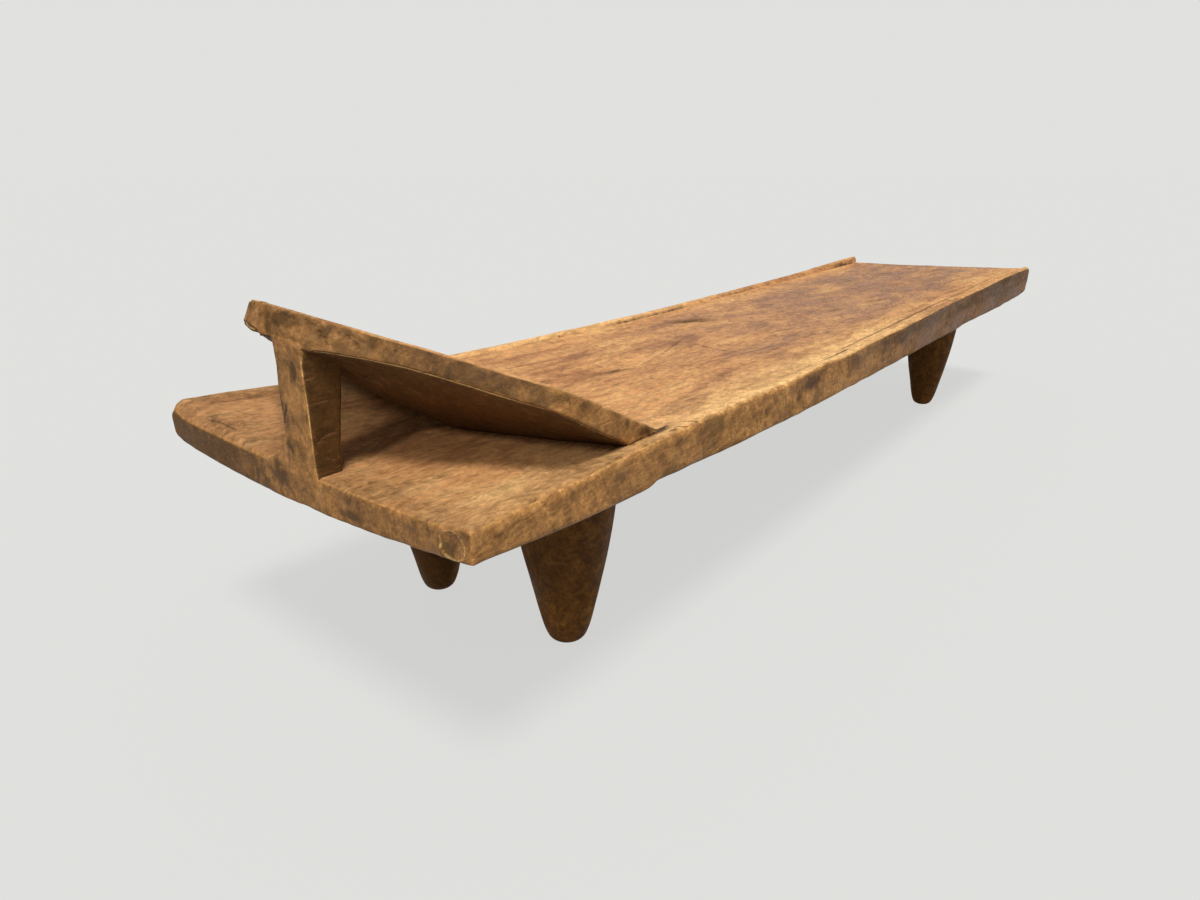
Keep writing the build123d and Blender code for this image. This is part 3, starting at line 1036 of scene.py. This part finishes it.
@dataclass
class Leg:
    """A leg hewn from the log: it swells from a small round foot up to the slab."""

    name: str
    from_head: float
    y: float
    stout: float
    # painted shade over the whole leg, from 0 to 1
    painted_shade: float = 0.0
    profile: Run = Run((
        (0, 0.0125), (0.0015, 0.0172), (0.004, 0.0216), (0.0075, 0.0252), (0.0153, 0.0290),
        (0.028, 0.0332), (0.041, 0.0366), (0.060, 0.0410), (0.097, 0.0494), (0.130, 0.0566),
        (0.168, 0.0632), (0.215, 0.0692), (0.250, 0.0728), (0.275, 0.0775), (0.300, 0.0825),
    ))
    height: float = 0.276
    turns: int = 96
    unevenness: float = 0.035
    knocked_side: Place = (0.62, -0.78, 0)
    adze: Adze = Adze((0.030, 0.030, 0.085), 0.0012, 1.0)

    def turned(self) -> bmesh.types.BMesh:
        """Turn the leg's outline round its axis."""
        bm = bmesh.new()
        heights = march(self.height, lambda z: 0.0007 + 0.0035 * ease(0.0, 0.02, z))
        outline = [(0, 0, 0), *((self.profile.at(z), 0, z) for z in heights), (0, 0, self.height)]
        ring = [bm.verts.new(spot) for spot in outline]
        edges = [bm.edges.new(pair) for pair in zip(ring, ring[1:])]
        bmesh.ops.spin(
            bm,
            geom=ring + edges,
            cent=(0, 0, 0),
            axis=(0, 0, 1),
            dvec=(0, 0, 0),
            angle=2 * pi,
            steps=self.turns,
            use_merge=True,
            use_duplicate=False,
        )
        bmesh.ops.remove_doubles(bm, verts=bm.verts, dist=1e-6)
        bmesh.ops.recalc_face_normals(bm, faces=bm.faces)
        return bm

    def build(self) -> bpy.types.Object:
        """Turn the leg, then hew it out of round."""
        bm = self.turned()
        seed = Vector((self.from_head, self.y, 0)) * 9
        centre = Vector((self.from_head + HEAD_X, self.y, 0))
        knocked_side = Vector(self.knocked_side)
        paints = []
        for vert in bm.verts:
            z = vert.co.z
            out = Vector((vert.co.x, vert.co.y, 0))
            radius = out.length * self.stout
            turn = out.normalized() if radius > 1e-9 else Vector((0, 0, 0))
            uneven = self.unevenness * noise.noise(turn * 0.9 + seed + UP * z * 4)
            uneven *= ease(0.0, 0.05, z)
            spot = centre + turn * radius * (1 + uneven)
            spot.z = z
            deep, inside = self.adze.cut(spot)
            spot -= turn * deep * ease(0.004, 0.03, z)
            vert.co = spot
            low = 1 - ease(0.0, 0.12, z)
            knocked = ease(0.62, 0.95, turn.dot(knocked_side)) * (1 - ease(0.04, 0.13, z))
            wear = 0.34 * low + 0.18 * (1 - inside) + 0.55 * knocked
            # The top of the leg, under the slab, is painted dark as shade.
            paints.append(Paint(self.painted_shade, wear=wear, hewn=1.0, grime=0.5 * ease(0.21, 0.26, z)))
        return to_object(self.name + "_carved", bm, paints)


# ---- Wood ----------------------------------------------------------------------------

class Sheet:
    """A node tree that is being wired, with short names for the nodes that wood needs."""

    def __init__(self, tree: bpy.types.NodeTree) -> None:
        """Keep the tree."""
        self.tree = tree

    def add(
        self, kind: str, feeds: dict[str | int, object] | None = None, **settings: object
    ) -> bpy.types.bpy_prop_collection:
        """Add a node.

        Args:
            kind: Its type, without the words that all shader nodes share.
            feeds: What goes into its inputs, by name or number.
            **settings: Its options.

        Returns:
            Its outputs.
        """
        node = self.tree.nodes.new("ShaderNode" + kind)
        for name, value in settings.items():
            setattr(node, name, value)
        for label, value in (feeds or {}).items():
            self.feed(node.inputs[label], value)
        return node.outputs

    def feed(self, socket: Socket, value: object) -> None:
        """Link a socket to another, or set its own value."""
        if isinstance(value, Socket):
            self.tree.links.new(value, socket)
        else:
            socket.default_value = value

    def sum(self, operation: str, first: object, second: object = 0.0) -> Socket:
        """Combine two numbers by the named operation of the Math node."""
        return self.add("Math", {0: first, 1: second}, operation=operation)[0]

    def vector(self, operation: str, first: object, second: object, gives: str = "Vector") -> Socket:
        """Combine two vectors, or a vector and the number that scales it.

        Args:
            operation: Name of the Vector Math node's operation.
            first: First vector.
            second: Second vector, or the number.
            gives: Name of the output that holds the result.

        Returns:
            The result.
        """
        other = "Scale" if operation == "SCALE" else 1
        return self.add("VectorMath", {0: first, other: second}, operation=operation)[gives]

    def weigh(self, *parts: tuple[object, float]) -> Socket:
        """Add patterns up, each with its weight.

        Args:
            parts: The patterns and their weights.

        Returns:
            The weighed sum.
        """
        total = None
        for part, weight in parts:
            weighed = self.sum("MULTIPLY", part, weight)
            total = weighed if total is None else self.sum("ADD", total, weighed)
        return total

    def ramp(
        self, value: object, low: float, high: float, to_low: float = 0.0, to_high: float = 1.0
    ) -> Socket:
        """Rise softly between two values.

        Args:
            value: The number to place.
            low: Where the rise starts.
            high: Where it ends.
            to_low: Result below the rise.
            to_high: Result above it.

        Returns:
            The result.
        """
        feeds = dict(enumerate((value, low, high, to_low, to_high)))
        return self.add("MapRange", feeds, interpolation_type="SMOOTHSTEP")[0]

    def mix(self, share: object, first: object, second: object, blend: str = "MIX") -> Socket:
        """Mix a share of a second colour into a first one."""
        feeds = {0: share, 6: first, 7: second}
        return self.add("Mix", feeds, data_type="RGBA", blend_type=blend, clamp_factor=True)[2]

    def stretch(self, place: object, scale: Place, shift: Place = (0, 0, 0)) -> Socket:
        """Stretch a pattern's space along the axes."""
        return self.add("Mapping", {"Vector": place, "Scale": scale, "Location": shift})[0]

    def turned(self, place: object, axis: str, angle: float) -> Socket:
        """Turn a pattern's space about an axis."""
        return self.add("VectorRotate", {"Vector": place, "Angle": angle}, rotation_type=axis)[0]

    def spread(self, value: object, amount: float) -> Socket:
        """Centre a pattern on zero and stretch it."""
        return self.sum("MULTIPLY", self.sum("SUBTRACT", value, 0.5), amount)

    def smear(self, value: object, *patterns: tuple[Socket, float]) -> Socket:
        """Break the edge of a painted place up with centred patterns.

        Args:
            value: The paint.
            patterns: The patterns and how far each one spreads the paint.

        Returns:
            The broken-up paint.
        """
        for pattern, amount in patterns:
            value = self.sum("ADD", value, self.spread(pattern, amount))
        return value

    def paint(self, layer: str) -> list[Socket]:
        """Read the three channels of a layer of the pieces' paint."""
        colours = self.add("Attribute", attribute_name=layer)["Color"]
        return list(self.add("SeparateColor", {0: colours}))

    def noise(
        self, place: object, scale: float, detail: float, rough: float = 0.55, bend: float = 0.0,
        gives: str = "Fac",
    ) -> Socket:
        """Add a noise pattern.

        Args:
            place: Where on the bed.
            scale: How close the pattern is.
            detail: How many finer layers it has.
            rough: How strong the finer layers are.
            bend: How much it is bent.
            gives: Name of the output that is wanted.

        Returns:
            The pattern.
        """
        feeds = {"Vector": place, "Scale": scale, "Detail": detail}
        return self.add("TexNoise", feeds | {"Roughness": rough, "Distortion": bend})[gives]


def new_group(
    name: str, takes: dict[str, str], gives: tuple[str, ...]
) -> tuple[Sheet, bpy.types.bpy_prop_collection, bpy.types.bpy_prop_collection]:
    """Start a shader node group.

    Args:
        name: Name of the group.
        takes: Name and kind of each input.
        gives: Name of each output, which are all numbers.

    Returns:
        Its sheet, what it takes, and the sockets of what it gives.
    """
    tree = bpy.data.node_groups.new(name, "ShaderNodeTree")
    for label, kind in takes.items():
        tree.interface.new_socket(label, in_out="INPUT", socket_type="NodeSocket" + kind)
    for label in gives:
        tree.interface.new_socket(label, in_out="OUTPUT", socket_type="NodeSocketFloat")
    taken, given = tree.nodes.new("NodeGroupInput"), tree.nodes.new("NodeGroupOutput")
    return Sheet(tree), taken.outputs, given.inputs


GRAIN = {
    # stretch, detail, roughness, bend
    "Streaks": ((2.6, 24.0, 24.0), 7.0, 0.66, 0.9),
    "Fibre": ((95.0, 230.0, 230.0), 4.0, 0.65, 0.8),
    "Cloud": ((7.0, 13.0, 13.0), 7.0, 0.64, 0.6),
    "Flecks": ((26.0, 54.0, 54.0), 7.0, 0.68, 1.4),
}
STROKE_SLANT = radians(28)
SCRATCHES = ((0.22, (9.0, 140.0, 140.0)), (-0.35, (12.0, 190.0, 190.0)))


def grain_group() -> bpy.types.NodeTree:
    """Build the grain of the log: long wandering streaks, fine fibre and cloudy tone."""
    takes = {"Place": "Vector", "Wander": "Float"}
    sheet, taken, given = new_group("Grain of the log", takes, tuple(GRAIN))
    place = taken["Place"]
    wander = sheet.noise(sheet.stretch(place, (1.6, 5.0, 5.0)), 1.0, 3.0, 0.5, gives="Color")
    centred = sheet.vector("SUBTRACT", wander, (0.5, 0.5, 0.5))
    bent = sheet.vector("ADD", place, sheet.vector("SCALE", centred, taken["Wander"]))
    for label, (scale, *rest) in GRAIN.items():
        sheet.feed(given[label], sheet.noise(sheet.stretch(bent, scale), 1.0, *rest))
    return sheet.tree


def hewing_group() -> bpy.types.NodeTree:
    """Build what an adze leaves on an upright face: slanting strokes and dark blotches."""
    gives = ("Strokes", "Blotches", "Mottle")
    sheet, taken, given = new_group("Hewn faces", {"Place": "Vector"}, gives)
    place = taken["Place"]
    strokes = sheet.stretch(sheet.turned(place, "Y_AXIS", STROKE_SLANT), (120.0, 120.0, 26.0))
    blotches = sheet.stretch(place, (19.0, 23.0, 27.0), (3.1, 1.7, 0.4))
    sheet.feed(given["Strokes"], sheet.noise(strokes, 1.0, 5.0, 0.62, 0.8))
    sheet.feed(given["Blotches"], sheet.noise(blotches, 1.0, 4.0, 0.52, 0.7))
    sheet.feed(given["Mottle"], sheet.noise(place, 62.0, 5.0, 0.62, 0.7))
    return sheet.tree


def scratch_group() -> bpy.types.NodeTree:
    """Build fine scratches and small pits that years of use leave on a surface."""
    gives = ("Scratches", "Pits")
    sheet, taken, given = new_group("Scratches and pits", {"Place": "Vector"}, gives)
    place = taken["Place"]
    parts = []
    for angle, scale in SCRATCHES:
        lines = sheet.stretch(sheet.turned(place, "Z_AXIS", angle), scale)
        parts.append(sheet.ramp(sheet.noise(lines, 1.0, 2.0, 0.5, 0.8), 0.64, 0.72))
    sheet.feed(given["Scratches"], sheet.sum("MAXIMUM", *parts))
    feeds = {"Vector": sheet.stretch(place, (90.0, 130.0, 130.0)), "Scale": 1.0}
    near = sheet.ramp(sheet.add("TexVoronoi", feeds, feature="F1")["Distance"], 0.24, 0.08)
    where = sheet.ramp(sheet.noise(place, 9.0, 3.0), 0.58, 0.68)
    sheet.feed(given["Pits"], sheet.sum("MULTIPLY", near, where))
    return sheet.tree


def line_group() -> bpy.types.NodeTree:
    """Build a ragged line between two points, as a crack or an incised line leaves."""
    takes = {"Place": "Vector", "From": "Vector", "To": "Vector", "Width": "Float"}
    sheet, taken, given = new_group("Ragged line", takes, ("Line",))
    away = sheet.vector("SUBTRACT", taken["Place"], taken["From"])
    along = sheet.vector("SUBTRACT", taken["To"], taken["From"])
    done = sheet.vector("DOT_PRODUCT", away, along, "Value")
    full = sheet.vector("DOT_PRODUCT", along, along, "Value")
    share = sheet.add("Math", {0: done, 1: full}, operation="DIVIDE", use_clamp=True)[0]
    gap = sheet.vector("DISTANCE", away, sheet.vector("SCALE", along, share), "Value")
    sheet.feed(given["Line"], sheet.ramp(sheet.sum("DIVIDE", gap, taken["Width"]), 1.0, 0.25))
    return sheet.tree


@dataclass(frozen=True)
class Scar:
    """A crack or incised line in the wood."""

    start: Place
    end: Place
    width: float
    strength: float


# Shallow cuts in the upper surface: two points (along, across), width, strength.
BED_CUTS = (
    # the ragged crease where the headrest's right side runs out
    ((-0.810, -0.2400), (-0.778, -0.2450), 0.0030, 0.85),
    ((-0.778, -0.2450), (-0.732, -0.2480), 0.0030, 0.95),
    ((-0.732, -0.2480), (-0.706, -0.2420), 0.0030, 0.75),
    ((-0.712, -0.2580), (-0.700, -0.2700), 0.0022, 0.60),
    ((-0.690, -0.2560), (-0.678, -0.2680), 0.0022, 0.60),
    # an incised line on the platform, left of the post
    ((-1.036, 0.2220), (-1.024, 0.1900), 0.0026, 0.55),
    ((-1.024, 0.1900), (-1.022, 0.1500), 0.0026, 0.50),
    # long curved cuts in the bed
    ((-0.439, -0.0080), (-0.323, 0.0240), 0.0030, 0.26),
    ((-0.323, 0.0240), (-0.220, 0.0580), 0.0034, 0.34),
    ((-0.220, 0.0580), (-0.166, 0.0640), 0.0030, 0.26),
    ((-0.243, 0.0150), (-0.264, -0.0400), 0.0030, 0.40),
    ((-0.264, -0.0400), (-0.264, -0.0790), 0.0034, 0.42),
    ((-0.362, -0.0840), (-0.279, -0.0970), 0.0032, 0.34),
    ((-0.279, -0.0970), (-0.171, -0.1200), 0.0034, 0.40),
    ((-0.171, -0.1200), (-0.052, -0.1300), 0.0030, 0.36),
    ((-0.451, -0.0460), (-0.416, -0.1020), 0.0026, 0.28),
    # a line scored beside the right raised edge
    ((-0.180, -0.2330), (0.020, -0.2280), 0.0040, 0.55),
    ((0.020, -0.2280), (0.300, -0.2240), 0.0050, 0.60),
    ((0.300, -0.2240), (0.640, -0.2220), 0.0056, 0.42),
    ((0.640, -0.2220), (0.960, -0.2200), 0.0060, 0.30),
)
# Nicks in the headrest's right front edge: two points (across, down the face), width, strength.
BAND_NICKS = (
    ((-0.0500, 0.010), (-0.0610, 0.022), 0.0020, 0.40),
    ((-0.0480, 0.009), (-0.0400, 0.006), 0.0020, 0.30),
    ((-0.0720, 0.009), (-0.0840, 0.018), 0.0020, 0.38),
    ((-0.0100, 0.005), (-0.0300, 0.008), 0.0022, 0.30),
)
# A crack down the front of the post, in two lengths: two points (across, up), width, strength.
POST_CRACKS = (
    ((-0.0110, 0.3796), (0.0010, 0.3524), 0.0024, 0.80),
    ((0.0010, 0.3524), (0.0110, 0.3261), 0.0022, 0.75),
)


def scars_from(cuts: tuple[tuple, ...], place_of: Callable[[float, float], Place]) -> tuple[Scar, ...]:
    """Lay out the cuts of one face in space.

    Args:
        cuts: Two points on the face, width and strength of each cut.
        place_of: Gives the place in space of a point on the face.

    Returns:
        The scars.
    """
    return tuple(
        Scar(tuple(place_of(*start)), tuple(place_of(*end)), width, strength)
        for start, end, width, strength in cuts
    )


@dataclass(frozen=True)
class WoodFinish:
    """The look of one carved and handled part of the log."""

    name: str
    light: Tone = (224, 172, 112)
    mid: Tone = (210, 152, 97)
    deep: Tone = (170, 116, 72)
    # reddish grey: the wood's tone, and painted sheen and shade toward the foot
    russet: Tone = (155, 119, 98)
    # golden: worn edges, and the painted highlight along the bed's right edge
    gold: Tone = (246, 198, 132)
    cut_light: Tone = (218, 164, 96)
    cut_mid: Tone = (200, 144, 80)
    cut_deep: Tone = (170, 118, 64)
    shade: Tone = (104, 76, 36)
    # dark brown, for stains and for painted shade
    stain_and_shade: Tone = (86, 57, 21)
    rubbed: Tone = (236, 188, 116)
    # near black, for pits and cracks, for soiling, and for painted shade in creases and under things
    grime: Tone = (52, 34, 16)
    rough: float = 0.60
    sheen: float = 0.28
    wander: float = 0.10
    hewn_shade: float = 0.64
    bump_strength: float = 0.8
    bump_depth: float = 0.0018
    scars: tuple[Scar, ...] = ()

    def build(self, groups: dict[str, bpy.types.NodeTree]) -> bpy.types.Material:
        """Make the material.

        Args:
            groups: The shared node groups by name.

        Returns:
            The material.
        """
        material = bpy.data.materials.new(self.name)
        material.use_nodes = True
        sheet = Sheet(material.node_tree)
        shader = sheet.tree.nodes["Principled BSDF"].inputs
        sheet.feed(shader["Specular IOR Level"], self.sheen)
        place = sheet.add("TexCoord")["Object"]
        dark, pale, russet = sheet.paint("tone_and_painted_light")
        wear, hewn, grime = sheet.paint("relief")
        feeds = {"Place": place, "Wander": self.wander}
        grain = sheet.add("Group", feeds, node_tree=groups["grain"])
        marks = sheet.add("Group", {"Place": place}, node_tree=groups["scratches"])
        hewing = sheet.add("Group", {"Place": place}, node_tree=groups["hewing"])
        streaks, cloud, mottle = grain["Streaks"], grain["Cloud"], hewing["Mottle"]

        base = self.bare(sheet, streaks, cloud, pale)
        base = sheet.mix(sheet.sum("MULTIPLY", hewn, 0.85), base, self.cut_wood(sheet, hewing))
        # Russet: the wood's tone, with painted sheen and shade toward the foot.
        reddened = sheet.sum("MULTIPLY", russet, sheet.ramp(cloud, 0.38, 0.62, 1.0, 0.45))
        base = sheet.mix(reddened, base, colour(*self.russet))
        ragged = sheet.smear(hewing["Blotches"], (mottle, 0.35))
        shaded = sheet.sum("MULTIPLY", sheet.ramp(ragged, 0.51, 0.69, 0.0, self.hewn_shade), hewn)
        base = sheet.mix(shaded, base, colour(*self.shade))
        # Stains and painted shade from the dark channel.
        darkening = sheet.smear(dark, (mottle, 1.0), (streaks, 0.8))
        base = sheet.mix(sheet.ramp(darkening, 0.30, 0.95, 0.0, 0.95), base, colour(*self.stain_and_shade))
        rubbing = sheet.smear(wear, (mottle, 1.5), (streaks, 1.0))
        base = sheet.mix(sheet.ramp(rubbing, 0.35, 1.10, 0.0, 0.75), base, colour(*self.rubbed))

        fine = sheet.weigh((grain["Fibre"], 0.6), (mottle, 0.4))
        base = sheet.mix(1.0, base, sheet.ramp(fine, 0.38, 0.62, 0.74, 1.18), "MULTIPLY")
        base = sheet.mix(1.0, base, sheet.ramp(grain["Flecks"], 0.33, 0.58, 0.76, 1.10), "MULTIPLY")
        # Soiling and painted shade in grooves, creases and under things.
        dirt_and_shade = sheet.ramp(sheet.smear(grime, (mottle, 1.2)), 0.25, 0.90, 0.0, 0.92)
        pits = sheet.sum("MULTIPLY", marks["Pits"], 0.45)
        scratches = sheet.sum("MULTIPLY", marks["Scratches"], 0.30)
        scarred = self.scarred(sheet, place, groups["line"])
        for share, tone in (
            (dirt_and_shade, self.grime),
            (pits, self.grime),
            (scratches, self.deep),
            (scarred, self.grime),
        ):
            base = sheet.mix(share, base, colour(*tone))
        sheet.feed(shader["Base Color"], base)
        rough = sheet.ramp(cloud, 0.35, 0.65, self.rough - 0.05, self.rough + 0.12)
        sheet.feed(shader["Roughness"], rough)

        height = sheet.weigh(
            (grain["Fibre"], 0.35),
            (streaks, 0.9),
            (grain["Flecks"], 1.2),
            (mottle, 0.8),
            (sheet.sum("MULTIPLY", hewing["Strokes"], hewn), 0.9),
            (marks["Pits"], -0.5),
            (marks["Scratches"], -0.3),
            (scarred, -1.6),
        )
        feeds = {"Strength": self.bump_strength, "Distance": self.bump_depth, "Height": height}
        sheet.feed(shader["Normal"], sheet.add("Bump", feeds)["Normal"])
        return material

    def bare(self, sheet: Sheet, streaks: Socket, cloud: Socket, pale: Socket) -> Socket:
        """Colour the wood itself, with its streaks and golden edges.

        Args:
            sheet: The material's sheet.
            streaks: Long streaks of the grain.
            cloud: Cloudy tone.
            pale: Where the wood is worn golden, and where a highlight is painted along the bed's right
                edge.

        Returns:
            The colour.
        """
        tone = sheet.weigh((streaks, 0.5), (cloud, 0.5))
        base = sheet.mix(sheet.ramp(tone, 0.39, 0.51), colour(*self.deep), colour(*self.mid))
        base = sheet.mix(sheet.ramp(tone, 0.50, 0.61), base, colour(*self.light))
        golden = sheet.sum("MULTIPLY", pale, sheet.ramp(tone, 0.38, 0.56, 0.50, 1.0))
        return sheet.mix(golden, base, colour(*self.gold))

    def cut_wood(self, sheet: Sheet, hewing: bpy.types.bpy_prop_collection) -> Socket:
        """Colour the cut wood of the upright faces from the adze's strokes."""
        tone = sheet.weigh((hewing["Strokes"], 0.6), (hewing["Mottle"], 0.4))
        deep, mid, light = (colour(*cut) for cut in (self.cut_deep, self.cut_mid, self.cut_light))
        base = sheet.mix(sheet.ramp(tone, 0.40, 0.56), deep, mid)
        return sheet.mix(sheet.ramp(tone, 0.52, 0.66), base, light)

    def scarred(self, sheet: Sheet, place: Socket, line: bpy.types.NodeTree) -> object:
        """Mark the cracks and incised lines, if there are any.

        Args:
            sheet: The material's sheet.
            place: Where on the bed.
            line: The node group of one ragged line.

        Returns:
            How strongly they show.
        """
        stray = sheet.noise(place, 170.0, 3.0, 0.6, gives="Color")
        feeds = {0: stray, 1: (0.009, 0.009, 0.009), 2: (-0.0045, -0.0045, -0.0045)}
        stray = sheet.add("VectorMath", feeds, operation="MULTIPLY_ADD")[0]
        ragged = sheet.vector("ADD", place, stray)
        shown = 0.0
        for scar in self.scars:
            feeds = {"Place": ragged, "From": scar.start, "To": scar.end, "Width": scar.width}
            drawn = sheet.add("Group", feeds, node_tree=line)["Line"]
            shown = sheet.sum("MAXIMUM", shown, sheet.sum("MULTIPLY", drawn, scar.strength))
        return shown


# ---- Studio --------------------------------------------------------------------------

@dataclass(frozen=True)
class Lamp:
    """A far lamp, as soft as it looks wide."""

    name: str
    strength: float
    way: Place
    degrees_wide: float
    lights_floor: bool


@dataclass
class Studio:
    """Pale floor, soft high light and the camera."""

    eye: Place = (-1.4347, -0.7375, 0.600)
    heading: float = 0.6847
    fall: float = 0.3452
    tilt: float = -0.0059
    lens: float = 23.75
    sensor: float = 36
    reach: tuple[float, float] = (0.02, 200)
    backdrop: Tone = (225, 225, 223)
    floor_size: float = 60
    floor_tone: tuple[float, ...] = (0.140, 0.140, 0.138, 1)
    floor_glow: float = 0.814
    floor_bounce: tuple[float, ...] = (0.34, 0.33, 0.32, 1)
    sky: float = 0.330
    warmth: Place = (1.0, 0.985, 0.96)
    lamps: tuple[Lamp, ...] = (
        Lamp("high lamp", 2.25, (0.29, 0.31, -1.0), 16, True),
        Lamp("end lamp", 0.85, (1.30, 0.44, -1.0), 8, False),
    )

    def camera(self) -> None:
        """Stand the camera at the head end, on the right, looking down the bed."""
        level = cos(self.fall)
        forward = Vector((cos(self.heading) * level, sin(self.heading) * level, -sin(self.fall)))
        right = Vector((sin(self.heading), -cos(self.heading), 0))
        up = right.cross(forward)
        rolled_right = right * cos(self.tilt) + up * sin(self.tilt)
        rolled_up = up * cos(self.tilt) - right * sin(self.tilt)
        turn = Matrix((rolled_right, rolled_up, -forward)).transposed().to_4x4()
        data = bpy.data.cameras.new("camera")
        data.sensor_width = self.sensor
        data.lens = self.lens
        data.clip_start, data.clip_end = self.reach
        camera = bpy.data.objects.new("camera", data)
        camera.matrix_world = Matrix.Translation(self.eye) @ turn
        bpy.context.scene.collection.objects.link(camera)
        bpy.context.scene.camera = camera

    def floor(self) -> None:
        """Lay a wide plain floor that keeps a light shadow."""
        bm = bmesh.new()
        bmesh.ops.create_grid(bm, x_segments=1, y_segments=1, size=self.floor_size)
        mesh = bpy.data.meshes.new("floor")
        bm.to_mesh(mesh)
        bm.free()
        floor = bpy.data.objects.new("floor", mesh)
        bpy.context.scene.collection.objects.link(floor)
        material = bpy.data.materials.new("pale floor")
        material.use_nodes = True
        sheet = Sheet(material.node_tree)
        sheet.tree.nodes.clear()
        plain = sheet.add("BsdfDiffuse", {"Color": self.floor_tone})[0]
        feeds = {"Color": colour(*self.backdrop), "Strength": self.floor_glow}
        shown = sheet.add("AddShader", {0: plain, 1: sheet.add("Emission", feeds)[0]})[0]
        unseen = sheet.add("BsdfDiffuse", {"Color": self.floor_bounce})[0]
        path = sheet.add("LightPath")
        seen = sheet.sum("MAXIMUM", path["Is Camera Ray"], path["Is Glossy Ray"])
        both = sheet.add("MixShader", {0: seen, 1: unseen, 2: shown})[0]
        sheet.add("OutputMaterial", {"Surface": both})
        mesh.materials.append(material)

    def lights(self) -> None:
        """Light the bed from high above, from beyond its head end, and from all round."""
        bed = bpy.data.collections.new("lit by the end lamp")
        for piece in bpy.context.scene.objects:
            if piece.type == "MESH" and piece.name != "floor":
                bed.objects.link(piece)
        for lamp in self.lamps:
            light = bpy.data.lights.new(lamp.name, "SUN")
            light.energy = lamp.strength
            light.angle = radians(lamp.degrees_wide)
            light.color = self.warmth
            holder = bpy.data.objects.new(lamp.name, light)
            holder.matrix_world = Vector(lamp.way).to_track_quat("-Z", "Y").to_matrix().to_4x4()
            bpy.context.scene.collection.objects.link(holder)
            if not lamp.lights_floor:
                holder.light_linking.receiver_collection = bed
        world = bpy.data.worlds.new("studio")
        world.use_nodes = True
        sheet = Sheet(world.node_tree)
        sheet.tree.nodes.clear()
        soft = sheet.add("Background", {"Color": (1, 1, 1, 1), "Strength": self.sky})[0]
        shown = sheet.add("Background", {"Color": colour(*self.backdrop)})[0]
        seen = sheet.add("LightPath")["Is Camera Ray"]
        both = sheet.add("MixShader", {0: seen, 1: soft, 2: shown})[0]
        sheet.add("OutputWorld", {"Surface": both})
        bpy.context.scene.world = world

    def set_up(self) -> None:
        """Put up the whole studio."""
        self.camera()
        self.floor()
        self.lights()
        bpy.context.scene.view_settings.view_transform = "Standard"


def dress(piece: bpy.types.Object, node: str, material: bpy.types.Material) -> None:
    """Give a carved piece its material and put it in its node's place.

    Args:
        piece: The carved piece.
        node: The part that it stands for.
        material: Its finish.
    """
    piece.data.materials.append(material)
    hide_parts(node)
    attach(piece, BODY)
    faces = len(piece.data.polygons)
    log.info("%s stands for %s, with %d faces", piece.name, node, faces)


LEG_WOOD = WoodFinish(
    "dark leg wood",
    light=(138, 94, 42),
    mid=(120, 78, 32),
    deep=(92, 58, 22),
    russet=(110, 68, 30),
    gold=(150, 104, 50),
    cut_light=(136, 92, 42),
    cut_mid=(118, 77, 32),
    cut_deep=(98, 62, 24),
    shade=(84, 53, 21),
    stain_and_shade=(72, 45, 17),
    rubbed=(158, 110, 54),
    grime=(44, 28, 12),
    rough=0.66,
    sheen=0.12,
    hewn_shade=0.25,
)
# Name, distance from the head end, place across, stoutness and painted shade.
LEGS = (
    Leg("leg_head_right", 0.292, -0.118, 0.98),
    Leg("leg_head_left", 0.275, 0.124, 0.88, 0.75),
    Leg("leg_foot_right", 1.714, -0.121, 0.87, 0.2),
    Leg("leg_foot_left", 1.719, 0.126, 0.9, 0.4),
)


def main() -> None:
    """Build the bed, then the studio around it."""
    logging.basicConfig(level=logging.INFO, format="%(name)s: %(message)s")
    noise.seed_set(TOOL_MARK_SEED)
    groups = {
        "grain": grain_group(),
        "hewing": hewing_group(),
        "scratches": scratch_group(),
        "line": line_group(),
    }
    slab = Slab()
    board = Board(slab)
    post = Post(board)
    bed_scars = scars_from(BED_CUTS, lambda x, y: (x, y, slab.top_z(x - HEAD_X, y)))
    band_scars = scars_from(BAND_NICKS, board.on_band)
    post_scars = scars_from(POST_CRACKS, lambda y, z: (HEAD_X, y, z))
    for piece, node, finish in (
        (slab, "bed_slab", WoodFinish("bed wood", scars=bed_scars)),
        (board, "headrest_board", WoodFinish("headrest wood", scars=band_scars)),
        (post, "headrest_post", WoodFinish("post wood", scars=post_scars)),
    ):
        dress(piece.build(), node, finish.build(groups))
    leg_wood = LEG_WOOD.build(groups)
    for leg in LEGS:
        dress(leg.build(), leg.name, leg_wood)

    Studio().set_up()


if __name__ == "__main__":
    main()
